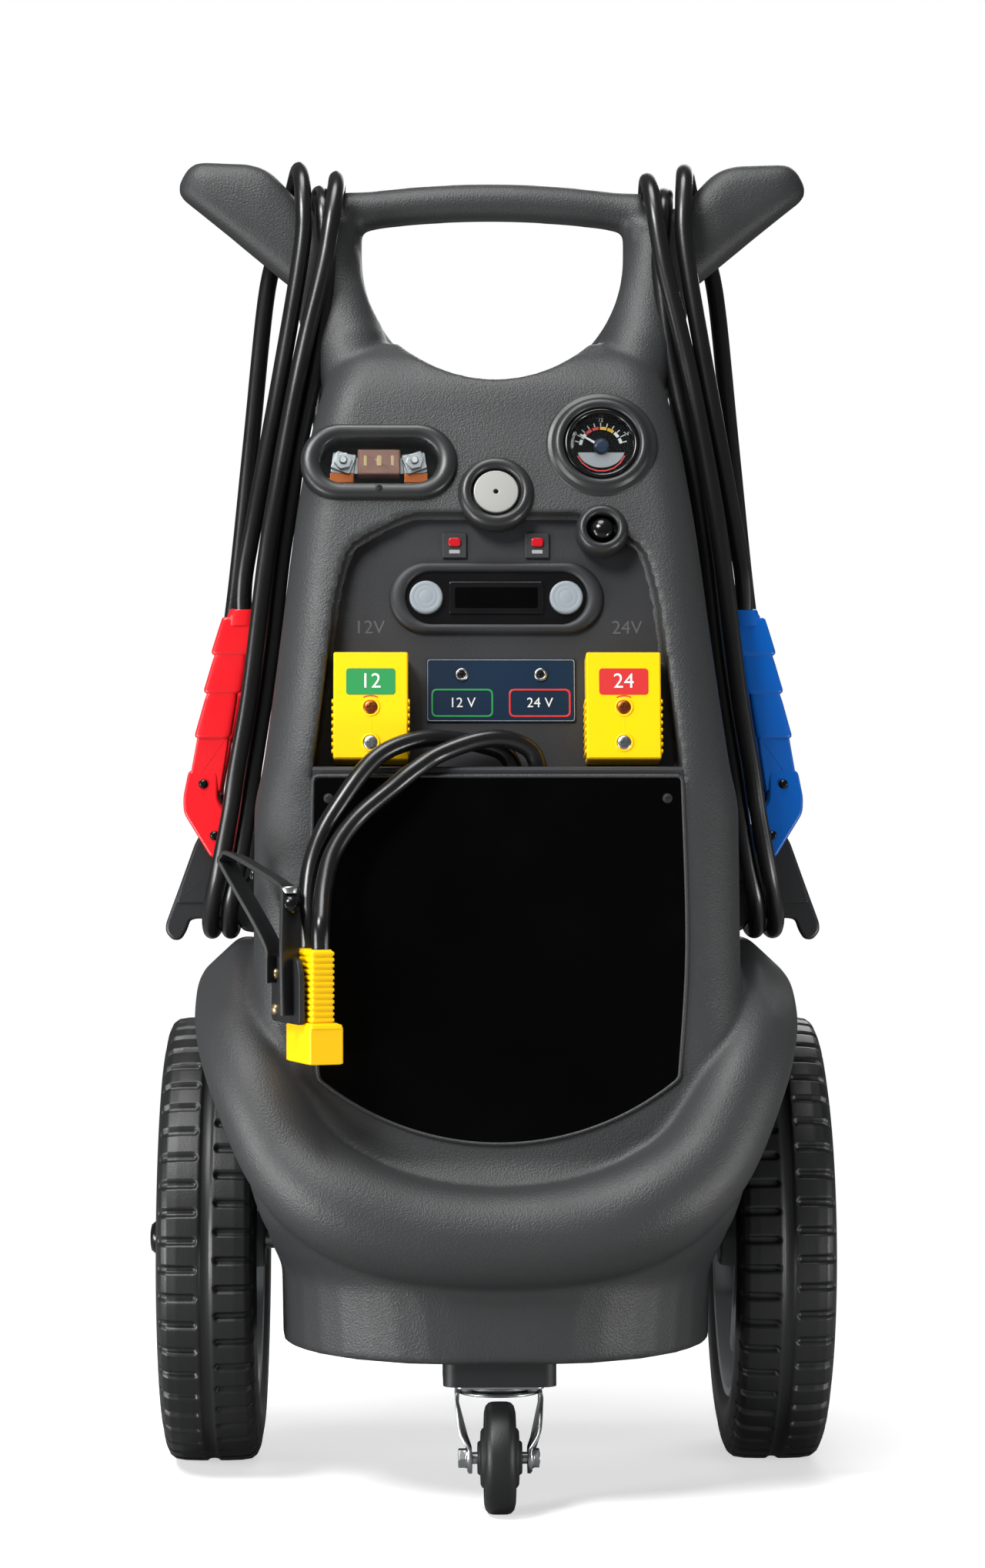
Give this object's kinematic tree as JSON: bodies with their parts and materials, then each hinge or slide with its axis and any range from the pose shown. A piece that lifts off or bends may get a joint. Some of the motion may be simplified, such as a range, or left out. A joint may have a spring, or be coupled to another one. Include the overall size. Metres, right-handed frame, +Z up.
{
  "type": "car battery charger",
  "caption": "Wheeled 12 and 24 volt battery booster cart with road wheels, caster, recessed panel, wound clamp cables and a plug lead.",
  "frame": {"origin": "bottom centre of the box round the cart without its cables, on the floor", "axes": "+Z up, -Y towards the front with the panel and caster, +X to the right seen from the front"},
  "size_m": [0.4974, 0.4197, 0.9428],
  "materials": {
    "body_plastic": "fine moulded texture",
    "dark_plastic": "fine moulded texture",
    "black_gloss": "smooth",
    "painted_steel": "black paint",
    "zinc": "zinc plated",
    "silver": "satin",
    "copper": "bare copper",
    "fuse_brown": "moulded",
    "clear": "clear",
    "lamp_red": "clear red",
    "label_blue": "printed film",
    "connector_yellow": "moulded",
    "clamp_red": "moulded",
    "clamp_blue": "moulded",
    "cable_jacket": "smooth jacket",
    "tyre_rubber": "moulded tread",
    "rim_grey": "moulded",
    "battery_case": "moulded",
    "board_green": "coated board"
  },
  "bodies": {
    "cart": {"front_shell": "body_plastic", "rear_shell": "body_plastic", "handle_front": "body_plastic", "handle_rear": "body_plastic", "base_plate": "painted_steel", "control_panel": "body_plastic", "label_plate": "black_gloss", "rear_cover": "dark_plastic", "case_screws": "zinc", "fuse_block": "dark_plastic", "fuse_link": "fuse_brown", "fuse_studs": "zinc", "fuse_busbars": "copper", "fuse_window": "clear", "meter_case": "black_gloss", "meter_dial": "black_gloss", "meter_lens": "clear", "alarm_disc": "silver", "selector_fascia": "black_gloss", "indicator_lamps": "lamp_red", "detection_label": "label_blue", "detection_lamps": "silver", "socket_12v": "connector_yellow", "socket_24v": "connector_yellow", "socket_contacts": "silver", "cable_glands": "cable_jacket", "hook_brackets": "painted_steel", "batteries": "battery_case", "battery_terminals": "zinc", "contactor": "dark_plastic", "charger_board": "board_green", "axle": "zinc", "axle_caps": "black_gloss", "caster_spacer": "dark_plastic", "caster_plate": "zinc", "red_clamp_body": "clamp_red", "blue_clamp_body": "clamp_blue", "clamp_pins": "painted_steel", "plug_housing": "connector_yellow", "plug_contacts": "silver", "plug_handle": "black_gloss", "plug_screws": "zinc", "red_cable": "cable_jacket", "blue_cable": "cable_jacket", "plug_cable_pos": "cable_jacket", "plug_cable_neg": "cable_jacket"},
    "wheel_left": {"tyre_left": "tyre_rubber", "rim_left": "rim_grey"},
    "wheel_right": {"tyre_right": "tyre_rubber", "rim_right": "rim_grey"},
    "caster_swivel": {"caster_fork": "zinc", "caster_bolt": "zinc"},
    "caster_wheel": {"caster_tyre": "tyre_rubber", "caster_core": "dark_plastic"},
    "needle": {"meter_needle": "silver"},
    "select_12v": {"button_12v": "silver"},
    "select_24v": {"button_24v": "silver"},
    "tester": {"test_button": "black_gloss"},
    "red_jaw": {"red_clamp_arm": "clamp_red"},
    "blue_jaw": {"blue_clamp_arm": "clamp_blue"}
  },
  "joints": [
    {"name": "wheel_left_turn", "type": "hinge", "parent": "cart", "child": "wheel_left", "pos_m": [-0.201, 0.048, 0.16], "axis": [1, 0, 0], "continuous": true},
    {"name": "wheel_right_turn", "type": "hinge", "parent": "cart", "child": "wheel_right", "pos_m": [0.201, 0.048, 0.16], "axis": [1, 0, 0], "continuous": true},
    {"name": "caster_swing", "type": "hinge", "parent": "cart", "child": "caster_swivel", "pos_m": [0, -0.139, 0.0785], "axis": [0, 0, 1], "continuous": true},
    {"name": "caster_turn", "type": "hinge", "parent": "caster_swivel", "child": "caster_wheel", "pos_m": [0, -0.167, 0.0375], "axis": [1, 0, 0], "continuous": true},
    {"name": "needle_turn", "type": "hinge", "parent": "cart", "child": "needle", "pos_m": [0.0745, -0.05288, 0.73043], "axis": [0, 0.9582, -0.286], "range_deg": [0, 100], "stiffness_Nm_per_rad": 0.0002, "springref_deg": -17.19},
    {"name": "select_12v_press", "type": "slide", "parent": "cart", "child": "select_12v", "axis": [0, 0.9854, -0.1705], "range_m": [0, 0.003], "stiffness_N_per_m": 400, "springref_m": -0.001},
    {"name": "select_24v_press", "type": "slide", "parent": "cart", "child": "select_24v", "axis": [0, 0.9854, -0.1705], "range_m": [0, 0.003], "stiffness_N_per_m": 400, "springref_m": -0.001},
    {"name": "tester_press", "type": "slide", "parent": "cart", "child": "tester", "axis": [0, 0.9582, -0.286], "range_m": [0, 0.003], "stiffness_N_per_m": 400, "springref_m": -0.001},
    {"name": "red_jaw_open", "type": "hinge", "parent": "cart", "child": "red_jaw", "pos_m": [-0.208, 0.026, 0.492], "axis": [1, 0, 0], "range_deg": [0, 20], "stiffness_Nm_per_rad": 2, "springref_deg": -14.32},
    {"name": "blue_jaw_open", "type": "hinge", "parent": "cart", "child": "blue_jaw", "pos_m": [0.208, 0.026, 0.492], "axis": [1, 0, 0], "range_deg": [0, 20], "stiffness_Nm_per_rad": 2, "springref_deg": -14.32}
  ]
}
